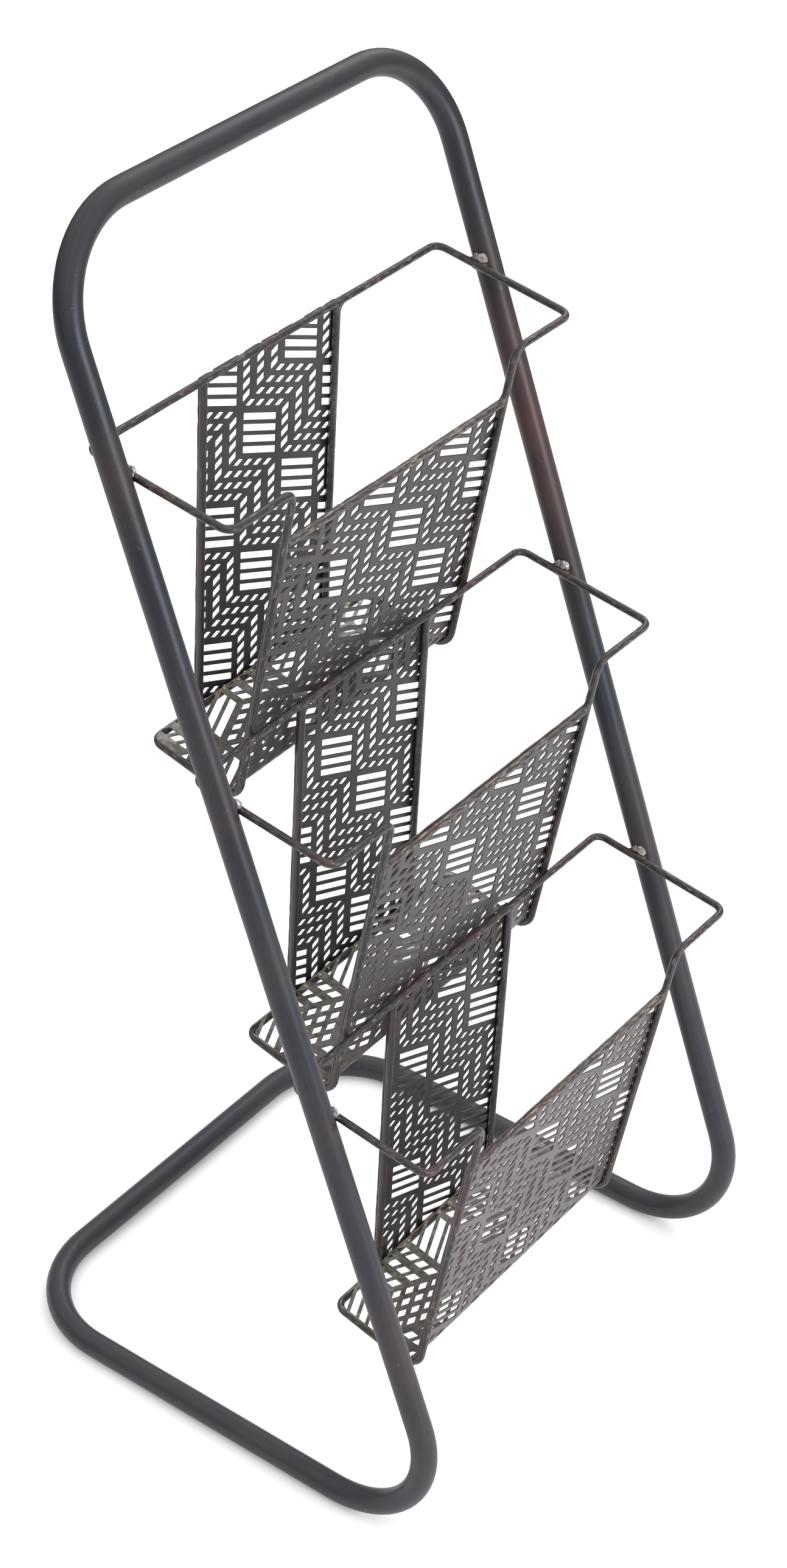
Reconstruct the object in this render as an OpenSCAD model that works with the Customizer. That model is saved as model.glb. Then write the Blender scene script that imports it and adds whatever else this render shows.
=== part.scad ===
// Free-standing newspaper rack: a leaning bent-tube frame that carries three rod and sheet baskets.
// Millimetres, +Z up, +Y to the rear. The origin is on the floor, at the middle of the outline.

/* [Frame] */
// Outside diameter of the frame tube
tube_d = 19; // [16:0.5:22]
// Wall of the frame tube
tube_wall = 1.5; // [1:0.1:2.5]
// Distance between the middles of the two uprights
frame_w = 392; // [350:1:460]
// Length of an upright from its sharp floor corner to its sharp top corner
upright_len = 988; // [940:1:1100]
// Backward lean of the uprights from the vertical, in degrees
lean = 21.4; // [15:0.1:24]
// Length of a floor rail from its sharp front corner to the middle of the rear bar
floor_len = 422; // [380:1:520]
// Bend radius at the top corners, to the middle of the tube
top_bend = 75.5; // [60:0.5:90]
// Bend radius between an upright and its floor rail
foot_bend = 78.5; // [60:0.5:90]
// Bend radius at the rear floor corners
rear_bend = 79; // [60:0.5:90]
// Straight tube between the foot bend and the seam
seam_gap = 37; // [32:1:60]
// Length of the spigot hidden inside each seam
spigot_len = 50; // [30:1:60]

/* [Baskets] */
// Diameter of the basket rods
rod_d = 5.4; // [4:0.1:6]
// Distance along an upright from its sharp floor corner to the lowest basket
first_basket = 364; // [340:1:400]
// Distance between neighbouring baskets along the uprights
basket_pitch = 231.5; // [225:0.5:245]
// Length of a side arm, from the rear rim to the front corner
arm_len = 114.5; // [100:0.5:125]
// Where a side arm crosses its upright, measured from the rear rim
arm_cross = 35; // [28:0.5:50]
// Downward slope of the side arms towards the front, in degrees
arm_slope = 8.3; // [4:0.1:12]
// Length of a front rod, from the front corner to the sharp tray corner
front_h = 263; // [240:1:280]
// Backward slope of the front from top to bottom, in degrees
front_slope = 9.6; // [6:0.1:14]
// Depth of the tray, from its sharp front corner to its rear rod
tray_len = 76.5; // [65:0.5:85]
// Upward slope of the tray towards the rear, in degrees
tray_slope = 13.8; // [8:0.1:18]
// Distance between the two front rods
front_w = 240; // [210:1:280]
// Distance between the two rear posts
post_w = 141; // [120:1:180]
// Drop from the front corners to the front cross rod
cross_drop = 43; // [32:1:60]
// Bend radius of the four rim corners
rim_bend = 8; // [6:0.5:14]
// Bend radius where the rim turns down into the front rods
stub_bend = 10; // [7:0.5:14]
// Bend radius between the front rods and the tray
tray_bend = 15; // [12:0.5:20]
// Bend radius of the rear tray corners
tray_corner = 8; // [6:0.5:12]

/* [Perforated sheet] */
// Thickness of the sheet
sheet_t = 1.2; // [0.8:0.1:1.5]
// Cut the pattern into the sheets
perforated = true;
// Width of one cell of the cube pattern
cell_w = 85; // [80:1:90]
// Height of one row of cells
cell_h = 56; // [54:1:60]
// Fall of the slanted lines for each millimetre of width
slant = 0.43; // [0.38:0.01:0.48]
// Pattern shift of the front sheets across, lowest basket first
front_shift_x = [5, 8, 43];
// Pattern shift of the front sheets down from the front corners, lowest basket first
front_shift_y = [84, 90, 90.5];
// Pattern shift of the back sheets across, lowest basket first
back_shift_x = [-21, -5, 12];
// Pattern shift of the back sheets down from the rim, lowest basket first
back_shift_y = [68, 56, 55];

/* [Welds] */
// Radius of the beads that hold the baskets to the uprights
frame_bead = 3.4; // [3.2:0.1:4.5]
// How far the beads between the rods stand out from the rods
rod_bead = 1; // [0.6:0.1:1.5]
// Length of the beads between the rods
rod_bead_len = 2; // [1.5:0.1:3]
// Radius of the tacks along the rear of each tray
tack_r = 1.9; // [1.5:0.1:2.4]
// Distance between neighbouring tacks
tack_pitch = 15; // [12:0.5:20]

/* [Hidden] */
TIERS = ["bottom", "middle", "top"];
$fn = 32;

tube_r = tube_d / 2;
bore_r = tube_r - tube_wall;
rod_r = rod_d / 2;
up = [0, sin(lean), cos(lean)];

// The foot bend: how far it trims the upright, and the outline that the rack stands in
foot_turn = 90 + lean;
foot_trim = foot_bend * tan(foot_turn / 2);
seam_at = foot_trim + seam_gap;
front_y = foot_trim - foot_bend - tube_r;
rear_y = floor_len + tube_r;
middle_y = (front_y + rear_y) / 2;
foot = [0, -middle_y, tube_r];

// A tool runs this far past what it cuts
far = 1;

// A straight and a bend stop short of each other, and a fine collar joins them
joint_gap = 0.05;
collar_len = 0.4;
collar_rise = 0.05;

// A coped end stops this far short of the rod that it is welded to
cope_gap = 0.03;

// Corners of one basket, seen from the side: x is the half width, and the rear rim is at zero
rim_x = frame_w / 2 - tube_r - rod_r;
front_x = front_w / 2;
post_x = post_w / 2;
arm_dir = [0, -cos(arm_slope), -sin(arm_slope)];
front_dir = [0, sin(front_slope), -cos(front_slope)];
tray_dir = [0, cos(tray_slope), sin(tray_slope)];
rim_front = arm_len * arm_dir;
tray_front = rim_front + front_h * front_dir;
tray_rear = tray_front + tray_len * tray_dir;
crossing = arm_cross * arm_dir;
post_len = norm(tray_rear);
post_slope = atan2(tray_rear.y, -tray_rear.z);

// The sheet lies on the inner side of the rods and bends with them
tray_turn = 90 - front_slope + tray_slope;
tray_trim = tray_bend * tan(tray_turn / 2);
sheet_outer = tray_bend - rod_r;
sheet_inner = sheet_outer - sheet_t;
bend_len = (sheet_outer + sheet_inner) / 2 * tray_turn * PI / 180;

// It ends above the middle of the cross rod, and just past the middles of the other rods
sheet_lip = 2.5;
sheet_overlap = 1;
sheet_top = cross_drop - sheet_lip;
front_end = front_h - tray_trim;
sheet_x = front_x + sheet_overlap;
back_x = post_x + sheet_overlap;
tray_end = tray_len + sheet_overlap;
side_border = 1.2;
rear_border = 4.5;
seam_strip = 0.02;

// The tray is notched round the posts' beads, which start off the rod's axis and stay clear of the sheet
notch_gap = 0.2;
notch = rod_r + rod_bead + notch_gap;
bead_start = 0.9;
bead_skim = 0.2;

// The beads on the uprights lie this far in from the upright, and stop short of the tight root of the corner
bead_inset = 0.8;
bead_root = 0.5;

// The tacks stray sideways and keep clear of the posts
tack_stray = 1.5;
tack_turn = 130;
tack_gap = 0.5;

// The pattern: each cell shows a cube with slots, blocks and diamonds on its three faces
half_w = cell_w / 2;
slot_count = 4;
slot_pitch = 8.55;
slot_h = 5.2;
slot_far = 38.5;
slot_near = 3;
slot_y = 3.5;
block_columns = 3;
block_x = 3;
block_y = 3;
block_w = 7.6;
block_h = 5.7;
block_pitch = [14.7, 8.8];
diamond_count = 4;
diamond_step = [10.5, 4.45];
diamond_fill = 0.5;

function unit(v) = v / norm(v);
function trim(before, at, after, r) = r * tan(acos(unit(at - before) * unit(after - at)) / 2);
function basket_place(i) = foot + (first_basket + i * basket_pitch) * up - crossing;

// A round bar from a to b
module stick(a, b, r) {
    d = b - a;
    translate(a) rotate([0, acos(d.z / norm(d)), atan2(d.y, d.x)]) cylinder(h = norm(d), r = r);
}

// A round bar bent to the radius bend_r at the corner
module elbow(before, corner, after, bend_r, r) {
    d1 = unit(corner - before);
    d2 = unit(after - corner);
    n = unit(cross(d1, d2));
    side = cross(n, d1);
    start = corner - trim(before, corner, after, bend_r) * d1;
    c = start + bend_r * side;
    multmatrix([
        [-side.x, d1.x, n.x, c.x],
        [-side.y, d1.y, n.y, c.y],
        [-side.z, d1.z, n.z, c.z],
        [0, 0, 0, 1]
    ]) rotate_extrude(angle = acos(d1 * d2)) translate([bend_r, 0]) circle(r);
}

// A fine collar at v, where a straight along d meets a bend
module collar(v, d, r) stick(v - collar_len / 2 * d, v + collar_len / 2 * d, r + collar_rise);

// A bar that follows the corner points p, with a bend radius for each; closed joins its two ends
module bent_bar(p, bends, r, closed = false) {
    n = len(p);
    function is_end(i) = !closed && (i == 0 || i == n - 1);
    function cut(i) = is_end(i) ? 0 : trim(p[(i + n - 1) % n], p[i], p[(i + 1) % n], bends[i]);
    for (i = [0:closed ? n - 1 : n - 2]) {
        j = (i + 1) % n;
        d = unit(p[j] - p[i]);
        a = p[i] + cut(i) * d;
        b = p[j] - cut(j) * d;
        gap_a = is_end(i) ? 0 : joint_gap;
        gap_b = is_end(j) ? 0 : joint_gap;
        stick(a + gap_a * d, b - gap_b * d, r);
        if (!is_end(i)) collar(a, d, r);
        if (!is_end(j)) collar(b, d, r);
    }
    for (i = [0:n - 1]) {
        if (!is_end(i)) elbow(p[(i + n - 1) % n], p[i], p[(i + 1) % n], bends[i], r);
    }
}

// A bent tube with open ends; tail is how far the bore tool runs past each end
module bent_tube(p, bends) {
    last = len(p) - 1;
    first_dir = unit(p[1] - p[0]);
    last_dir = unit(p[last] - p[last - 1]);
    bore = [for (i = [0:last]) i == 0 ? p[0] - far * first_dir : i == last ? p[last] + far * last_dir : p[i]];
    difference() {
        bent_bar(p, bends, tube_r);
        bent_bar(bore, bends, bore_r);
    }
}

function side_point(side, v) = [side * frame_w / 2, 0, 0] + foot + v;

// One tube makes both uprights and the top bar
module frame_upper_tube() color([0.24, 0.25, 0.28]) bent_tube([
    side_point(-1, seam_at * up),
    side_point(-1, upright_len * up),
    side_point(1, upright_len * up),
    side_point(1, seam_at * up)
], [0, top_bend, top_bend, 0]);

// The other tube makes both feet, the floor rails and the rear bar
module frame_floor_tube() color([0.23, 0.24, 0.27]) bent_tube([
    side_point(-1, seam_at * up),
    side_point(-1, [0, 0, 0]),
    side_point(-1, [0, floor_len, 0]),
    side_point(1, [0, floor_len, 0]),
    side_point(1, [0, 0, 0]),
    side_point(1, seam_at * up)
], [0, foot_bend, rear_bend, rear_bend, foot_bend, 0]);

// A short tube inside a seam, half of it on each side
module seam_spigot(side) color([0.45, 0.45, 0.46]) difference() {
    low = side_point(side, (seam_at - spigot_len / 2) * up);
    high = side_point(side, (seam_at + spigot_len / 2) * up);
    stick(low, high, bore_r);
    stick(low - far * up, high + far * up, bore_r - tube_wall);
}

// One rod, bent into the rim, the two front uprights and the edge of the tray
module basket_rod() color([0.2, 0.18, 0.18]) {
    side_path = [
        [rim_x, 0, 0],
        [rim_x, 0, 0] + rim_front,
        [front_x, 0, 0] + rim_front,
        [front_x, 0, 0] + tray_front,
        [front_x, 0, 0] + tray_rear
    ];
    bends = [rim_bend, rim_bend, stub_bend, tray_bend, tray_corner];
    last = len(side_path) - 1;
    left_path = [for (i = [last:-1:0]) [-side_path[i].x, side_path[i].y, side_path[i].z]];
    left_bends = [for (i = [last:-1:0]) bends[i]];
    bent_bar(concat(side_path, left_path), concat(bends, left_bends), rod_r, closed = true);
}

module front_rods(r = rod_r) {
    for (side = [-1, 1]) {
        x = [side * front_x, 0, 0];
        stick(x + rim_front + stub_bend * front_dir, x + tray_front - tray_trim * front_dir, r);
    }
}

// The rim and the rear tray rod, only as far as the posts need
module rear_rods(r = rod_r) {
    for (v = [[0, 0, 0], tray_rear]) stick(v - [post_w, 0, 0], v + [post_w, 0, 0], r);
}

cross_mid = rim_front + cross_drop * front_dir;

module cross_bar() stick(cross_mid - [front_x, 0, 0], cross_mid + [front_x, 0, 0], rod_r);

module post_bar(side) stick([side * post_x, 0, 0], [side * post_x, 0, 0] + tray_rear, rod_r);

// The rod across the front, coped to the front rods
module cross_rod() color([0.3, 0.28, 0.26]) difference() {
    cross_bar();
    front_rods(rod_r + cope_gap);
}

// A rear post, coped to the rim above and to the tray rod below
module post(side) color([0.2, 0.19, 0.19]) difference() {
    post_bar(side);
    rear_rods(rod_r + cope_gap);
}

// A slanted hole, clipped to the half width w_max and left out where it would leave y0 to y1
module slanted_hole(x, w, y, h, fall, window) {
    a = max(x, -window[0]);
    b = min(x + w, window[0]);
    top = y + min(a * fall, b * fall);
    low = y + h + max(a * fall, b * fall);
    fits = b - a > side_border && top > window[1] && low < window[2];
    if (fits) polygon([[a, a * fall + y], [b, b * fall + y], [b, b * fall + y + h], [a, a * fall + y + h]]);
}

module diamond(x, y, window) {
    w = diamond_step.x * diamond_fill;
    h = diamond_step.y * diamond_fill;
    fits = abs(x) + w < window[0] && y - h > window[1] && y + h < window[2];
    if (fits) translate([x, y]) polygon([[-w, 0], [0, -h], [w, 0], [0, h]]);
}

// One cell: its three cube faces meet at c, and y runs down the sheet
module cell(c, window) {
    for (i = [0:slot_count - 1]) {
        y = c.y - slant * c.x + slot_y + i * slot_pitch;
        slanted_hole(c.x - slot_far, slot_far - slot_near, y, slot_h, slant, window);
    }
    for (k = [0:block_columns - 1], i = [0:slot_count - 1]) {
        y = c.y + slant * c.x + block_y + i * block_pitch.y;
        slanted_hole(c.x + block_x + k * block_pitch.x, block_w, y, block_h, -slant, window);
    }
    for (i = [0:diamond_count - 1], j = [0:diamond_count - 1]) {
        across = (i - j) * diamond_step.x;
        down = (i + j - diamond_count + 1) * diamond_step.y - slant * half_w;
        diamond(c.x + across, c.y + down, window);
    }
}

// The pattern shifted by s, inside a window of half width w that runs from y0 to y1 down the sheet
module pattern(s, w, y0, y1) {
    first = floor((y0 - s.y) / cell_h) - 1;
    last = ceil((y1 - s.y) / cell_h) + 1;
    if (perforated) for (row = [first:last], column = [-3:3]) {
        odd = row - 2 * floor(row / 2);
        cell([s.x + column * cell_w + odd * half_w, s.y + row * cell_h], [w - side_border, y0, y1]);
    }
}

module rounded_end(w, y0, y1, r) {
    translate([-w, y0]) square([2 * w, y1 - y0 - r]);
    translate([r - w, y1 - r - far]) square([2 * (w - r), r + far]);
    for (side = [-1, 1]) translate([side * (w - r), y1 - r]) circle(r);
}

// Moves a drawing to the inner face of the front or of the tray, with y along the sheet
module on_front() translate(rim_front) rotate([front_slope - 90, 0, 0]) translate([0, 0, rod_r]) children();
module on_back() rotate([post_slope - 90, 0, 0]) translate([0, 0, rod_r]) children();
module on_tray() translate(tray_front) rotate([tray_slope, 0, 0]) translate([0, 0, rod_r]) children();

// A strip that joins a flat stretch of sheet to the bend at y
module sheet_seam(y) {
    translate([-sheet_x - seam_strip, y - collar_len / 2, -seam_strip])
        cube([2 * (sheet_x + seam_strip), collar_len, sheet_t + 2 * seam_strip]);
}

// The front sheet is one piece in three stretches: front, bend and tray
module front_sheet(i) color([0.34, 0.34, 0.35]) {
    shift = [front_shift_x[i], front_shift_y[i]];
    tray_shift = shift + [0, tray_trim - front_end - bend_len];
    front_stop = front_end - joint_gap;
    tray_start = tray_trim + joint_gap;
    on_front() linear_extrude(sheet_t) difference() {
        translate([-sheet_x, sheet_top]) square([2 * sheet_x, front_stop - sheet_top]);
        pattern(shift, sheet_x, sheet_top + side_border, front_stop - side_border);
    }
    on_front() sheet_seam(front_end);
    on_front() translate([-sheet_x, front_end, tray_bend - rod_r]) rotate([0, 90, 0])
        rotate_extrude(angle = tray_turn) translate([sheet_inner, 0]) square([sheet_t, 2 * sheet_x]);
    on_tray() sheet_seam(tray_trim);
    on_tray() linear_extrude(sheet_t) difference() {
        rounded_end(sheet_x, tray_start, tray_end, tray_corner);
        pattern(tray_shift, sheet_x, tray_start + side_border, tray_end - rear_border);
        for (side = [-1, 1]) {
            translate([side * post_x - notch, tray_len - notch]) square([2 * notch, 2 * notch]);
        }
    }
}

// The back sheet stands behind the posts, from the rim down to the tray rod
module back_sheet(i) color([0.27, 0.26, 0.26]) {
    shift = [back_shift_x[i], back_shift_y[i]];
    on_back() linear_extrude(sheet_t) difference() {
        translate([-back_x, -sheet_overlap]) square([2 * back_x, post_len + 2 * sheet_overlap]);
        pattern(shift, back_x, side_border, post_len - side_border);
    }
}

// A bead above and a bead below each arm, in the corner between arm and upright
module frame_welds() color([0.62, 0.62, 0.64]) {
    arm_n = [0, -sin(arm_slope), cos(arm_slope)];
    for (side = [-1, 1], v = [-1, 1]) difference() {
        on_arm = crossing + [side * rim_x, 0, 0];
        on_tube = crossing + [side * frame_w / 2, 0, 0];
        corner = [side * (rod_r - bead_inset), 0, 0] + v * (frame_bead + bead_root) * arm_n;
        translate(on_arm + corner) sphere(frame_bead);
        stick(on_arm - tube_d * arm_dir, on_arm + tube_d * arm_dir, rod_r);
        stick(on_tube - tube_d * up, on_tube + tube_d * up, tube_r);
    }
}

// A bead round the end of a rod: root is on the axis of the rod that it meets, and d runs along its own rod
module rod_weld(root, d) stick(root + bead_start * d, root + (rod_r + rod_bead_len) * d, rod_r + rod_bead);

// The room that a sheet needs on the rods, in the frame of the front or of the back
module sheet_room() translate([-front_w, -rod_d, -bead_skim]) cube([2 * front_w, front_h + 2 * rod_d, rod_d]);

// Beads at the ends of the cross rod and of the posts, cut flat where a sheet lies on them
module rod_welds() color([0.4, 0.39, 0.38]) {
    for (side = [-1, 1]) difference() {
        rod_weld(cross_mid + [side * front_x, 0, 0], [-side, 0, 0]);
        cross_bar();
        front_rods();
        on_front() sheet_room();
    }
    down = unit(tray_rear);
    for (side = [-1, 1], low = [false, true]) difference() {
        root = [side * post_x, 0, 0] + (low ? tray_rear : [0, 0, 0]);
        rod_weld(root, low ? -down : down);
        post_bar(side);
        rear_rods();
        on_back() sheet_room();
    }
}

// Round tacks on the rear border of the tray, clear of the posts
module tack_welds() color([0.6, 0.52, 0.38]) {
    count = floor((front_x - 2 * tray_corner) / tack_pitch);
    y = tray_end - rear_border / 2;
    on_tray() for (k = [-count:count]) {
        x = k * tack_pitch + tack_stray * sin(k * tack_turn);
        clear_of_post = abs(abs(x) - post_x) > notch + tack_r + tack_gap;
        if (clear_of_post) intersection() {
            translate([x, y, sheet_t]) sphere(tack_r);
            translate([x - 2 * tack_r, y - 2 * tack_r, sheet_t]) cube(4 * tack_r);
        }
    }
}

frame_upper_tube();
frame_floor_tube();
seam_spigot(-1);  // left_seam_spigot
seam_spigot(1);  // right_seam_spigot
for (i = [0:2]) translate(basket_place(i)) {
    basket_rod();
    cross_rod();
    post(-1);
    post(1);
    front_sheet(i);
    back_sheet(i);
    frame_welds();
    rod_welds();
    tack_welds();
}
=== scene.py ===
"""Looks for the newspaper rack: a leaning bent-tube frame with three rod and perforated sheet baskets.

Metres, in the frame of the CAD: the floor is z = 0 and the rack faces -Y. Every place is worked out
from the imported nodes' boxes and from the driving dimensions below. They are the CAD's, apart from each
sheet's top edge and the place of its holes, which are closer to the photograph here.
"""

import math
import random

import bpy
import numpy as np
from mathutils import Matrix, Vector, noise
from mathutils.geometry import delaunay_2d_cdt


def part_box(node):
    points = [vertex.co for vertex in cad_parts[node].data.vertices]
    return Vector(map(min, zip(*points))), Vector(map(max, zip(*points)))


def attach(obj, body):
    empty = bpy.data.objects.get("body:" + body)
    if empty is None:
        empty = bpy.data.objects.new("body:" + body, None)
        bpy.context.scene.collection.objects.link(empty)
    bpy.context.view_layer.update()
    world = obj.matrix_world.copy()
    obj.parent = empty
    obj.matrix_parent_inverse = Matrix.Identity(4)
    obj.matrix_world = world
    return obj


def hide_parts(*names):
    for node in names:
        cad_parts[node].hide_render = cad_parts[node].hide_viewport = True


# Without a seed, noise_vector takes one from the clock and each run differs
noise.seed_set(3)

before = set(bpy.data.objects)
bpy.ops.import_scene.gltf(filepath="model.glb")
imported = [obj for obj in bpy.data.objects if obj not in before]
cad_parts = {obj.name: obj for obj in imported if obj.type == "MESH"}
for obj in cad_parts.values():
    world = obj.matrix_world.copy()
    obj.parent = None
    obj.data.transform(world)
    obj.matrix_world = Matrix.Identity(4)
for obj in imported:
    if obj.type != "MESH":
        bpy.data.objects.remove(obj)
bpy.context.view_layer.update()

MM = 0.001
TIERS = ["bottom", "middle", "top"]

# -------- driving dimensions

TUBE_R = 9.5 * MM
TUBE_WALL = 1.5 * MM
FRAME_W = 392 * MM
UPRIGHT_LEN = 988 * MM
LEAN = math.radians(21.4)
FLOOR_LEN = 422 * MM
TOP_BEND = 75.5 * MM
FOOT_BEND = 78.5 * MM
REAR_BEND = 79 * MM
SEAM_GAP = 37 * MM

ROD_R = 2.7 * MM
FIRST_BASKET = 364 * MM
BASKET_PITCH = 231.5 * MM
ARM_LEN = 114.5 * MM
ARM_CROSS = 35 * MM
ARM_SLOPE = math.radians(8.3)
FRONT_H = 263 * MM
FRONT_SLOPE = math.radians(9.6)
TRAY_LEN = 76.5 * MM
TRAY_SLOPE = math.radians(13.8)
FRONT_X = 120 * MM
POST_X = 70.5 * MM
CROSS_DROP = 43 * MM
RIM_BEND = 8 * MM
STUB_BEND = 10 * MM
TRAY_BEND = 15 * MM
TRAY_CORNER = 8 * MM

SHEET_T = 1.2 * MM
SHEET_LIP = {"bottom": -0.8 * MM, "middle": 0.9 * MM, "top": -0.3 * MM}
SHEET_OVERLAP = 1 * MM
HALF_CELL = 42.5 * MM
SLANT = 0.42
FRONT_CELLS = {
    "bottom": (13.5 * MM, 96 * MM, 85.3 * MM, 57.5 * MM),
    "middle": (12 * MM, 97 * MM, 86.5 * MM, 56.4 * MM),
    "top": (51.5 * MM, 97.5 * MM, 84 * MM, 56 * MM),
}
TRAY_CELLS = {
    "bottom": (4.5 * MM, 75.5 * MM, 85.3 * MM, 57.5 * MM),
    "middle": (4 * MM, 90.5 * MM, 86.5 * MM, 56.4 * MM),
    "top": (38 * MM, 85 * MM, 84 * MM, 56 * MM),
}
BACK_CELLS = {
    "bottom": (-15 * MM, 73 * MM, 86 * MM, 54.8 * MM),
    "middle": (-3.5 * MM, 59.5 * MM, 86.4 * MM, 55 * MM),
    "top": (14.2 * MM, 58 * MM, 85.6 * MM, 54.6 * MM),
}

UP = np.array([0, math.sin(LEAN), math.cos(LEAN)])
X_AXIS = np.array([1.0, 0, 0])


def unit(v):
    return v / np.linalg.norm(v)


# -------- one basket, from its rear rim

ARM_DIR = np.array([0, -math.cos(ARM_SLOPE), -math.sin(ARM_SLOPE)])
FRONT_DIR = np.array([0, math.sin(FRONT_SLOPE), -math.cos(FRONT_SLOPE)])
FRONT_N = np.array([0, math.cos(FRONT_SLOPE), math.sin(FRONT_SLOPE)])
TRAY_DIR = np.array([0, math.cos(TRAY_SLOPE), math.sin(TRAY_SLOPE)])
TRAY_N = np.array([0, -math.sin(TRAY_SLOPE), math.cos(TRAY_SLOPE)])
RIM_X = FRAME_W / 2 - TUBE_R - ROD_R
RIM_FRONT = ARM_LEN * ARM_DIR
TRAY_FRONT = RIM_FRONT + FRONT_H * FRONT_DIR
TRAY_REAR = TRAY_FRONT + TRAY_LEN * TRAY_DIR
CROSSING = ARM_CROSS * ARM_DIR
CROSS_MID = RIM_FRONT + CROSS_DROP * FRONT_DIR
POST_LEN = np.linalg.norm(TRAY_REAR)
BACK_DIR = TRAY_REAR / POST_LEN
BACK_N = np.array([0, -BACK_DIR[2], BACK_DIR[1]])

TRAY_TURN = math.pi / 2 - FRONT_SLOPE + TRAY_SLOPE
TRAY_TRIM = TRAY_BEND * math.tan(TRAY_TURN / 2)
BEND_R = TRAY_BEND - ROD_R - SHEET_T / 2
BEND_START = FRONT_H - TRAY_TRIM
BEND_END = BEND_START + BEND_R * TRAY_TURN
FOLD = (BEND_START + BEND_END) / 2
SHEET_END = BEND_END + TRAY_LEN - TRAY_TRIM + SHEET_OVERLAP
SHEET_X = FRONT_X + SHEET_OVERLAP
BACK_X = POST_X + SHEET_OVERLAP


def basket_origin(tier):
    """The middle of the basket's rear rim, which is the highest line of its rod."""
    low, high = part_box(f"{tier}_basket_rod")
    y = high.y - ROD_R - max(0, TRAY_REAR[1])
    return np.array([(low.x + high.x) / 2, y, high.z - ROD_R])


# -------- mesh helpers

SHARP_TURN = math.radians(38)


def add_piece(name, verts, faces, material, node, attributes):
    """A mesh piece that replaces a node. attributes holds (name, kind, values for each vertex)."""
    mesh = bpy.data.meshes.new(name)
    mesh.from_pydata([tuple(v) for v in verts], [], faces)
    mesh.polygons.foreach_set("use_smooth", [True] * len(mesh.polygons))
    for key, kind, values in attributes:
        layer = mesh.attributes.new(key, kind, "POINT")
        field = "vector" if kind == "FLOAT_VECTOR" else "value"
        layer.data.foreach_set(field, np.asarray(values, np.float32).ravel())
    mesh.materials.append(material)
    mesh.set_sharp_from_angle(angle=SHARP_TURN)
    mesh.update()
    piece = bpy.data.objects.new(name, mesh)
    bpy.context.scene.collection.objects.link(piece)
    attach(piece, "root")
    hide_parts(node)


def bent_path(corners, bends, closed=False, step=6 * MM, turn_step=math.radians(5)):
    """Points along a polyline with its corners rounded to the radii in bends."""
    corners = [np.asarray(c, float) for c in corners]
    count = len(corners)
    path = []
    for i, corner in enumerate(corners):
        before = corners[i - 1]
        after = corners[(i + 1) % count]
        is_end = not closed and i in (0, count - 1)
        if is_end:
            arc = [corner]
        else:
            d1 = unit(corner - before)
            d2 = unit(after - corner)
            turn = math.acos(float(np.clip(d1 @ d2, -1, 1)))
            start = corner - bends[i] * math.tan(turn / 2) * d1
            side = unit(d2 - (d1 @ d2) * d1)
            centre = start + bends[i] * side
            pieces = max(3, math.ceil(turn / turn_step))
            arc = [
                centre + bends[i] * (math.sin(t) * d1 - math.cos(t) * side)
                for t in np.linspace(0, turn, pieces + 1)
            ]
        if path:
            path += straight_points(path[-1], arc[0], step)
        path += arc
    if closed:
        path += straight_points(path[-1], path[0], step)
    return np.array(path)


def straight_points(a, b, step):
    """The points strictly between a and b."""
    pieces = max(1, math.ceil(np.linalg.norm(b - a) / step))
    return [a + (b - a) * t for t in np.linspace(0, 1, pieces + 1)[1:-1]]


def path_frames(path, closed):
    """Tangent and two normals at each point, carried along without twist."""
    if closed:
        tangents = np.roll(path, -1, 0) - np.roll(path, 1, 0)
    else:
        tangents = np.gradient(path, axis=0)
    tangents /= np.linalg.norm(tangents, axis=1)[:, None]
    first = np.cross(tangents[0], X_AXIS)
    if np.linalg.norm(first) < 0.1:
        first = np.cross(tangents[0], [0, 0, 1.0])
    normals = [unit(first)]
    for t in tangents[1:]:
        n = normals[-1] - (normals[-1] @ t) * t
        normals.append(unit(n))
    normals = np.array(normals)
    others = np.cross(tangents, normals)
    if closed:
        carried = normals[-1] - (normals[-1] @ tangents[0]) * tangents[0]
        twist = math.atan2(carried @ others[0], carried @ normals[0])
        turn = -twist * np.arange(len(path)) / len(path)
        c, s = np.cos(turn)[:, None], np.sin(turn)[:, None]
        normals, others = normals * c + others * s, others * c - normals * s
    return tangents, normals, others


def arc_lengths(path):
    return np.concatenate([[0], np.cumsum(np.linalg.norm(np.diff(path, axis=0), axis=1))])


def wander(points, seed, scale, size):
    """Smooth sideways drift of hand-bent metal, the same on each run."""
    shift = Vector((seed * 7.3, seed * 3.1, seed * 5.7))
    return np.array([size * np.array(noise.noise_vector(Vector(p) / scale + shift)) for p in points])


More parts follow.
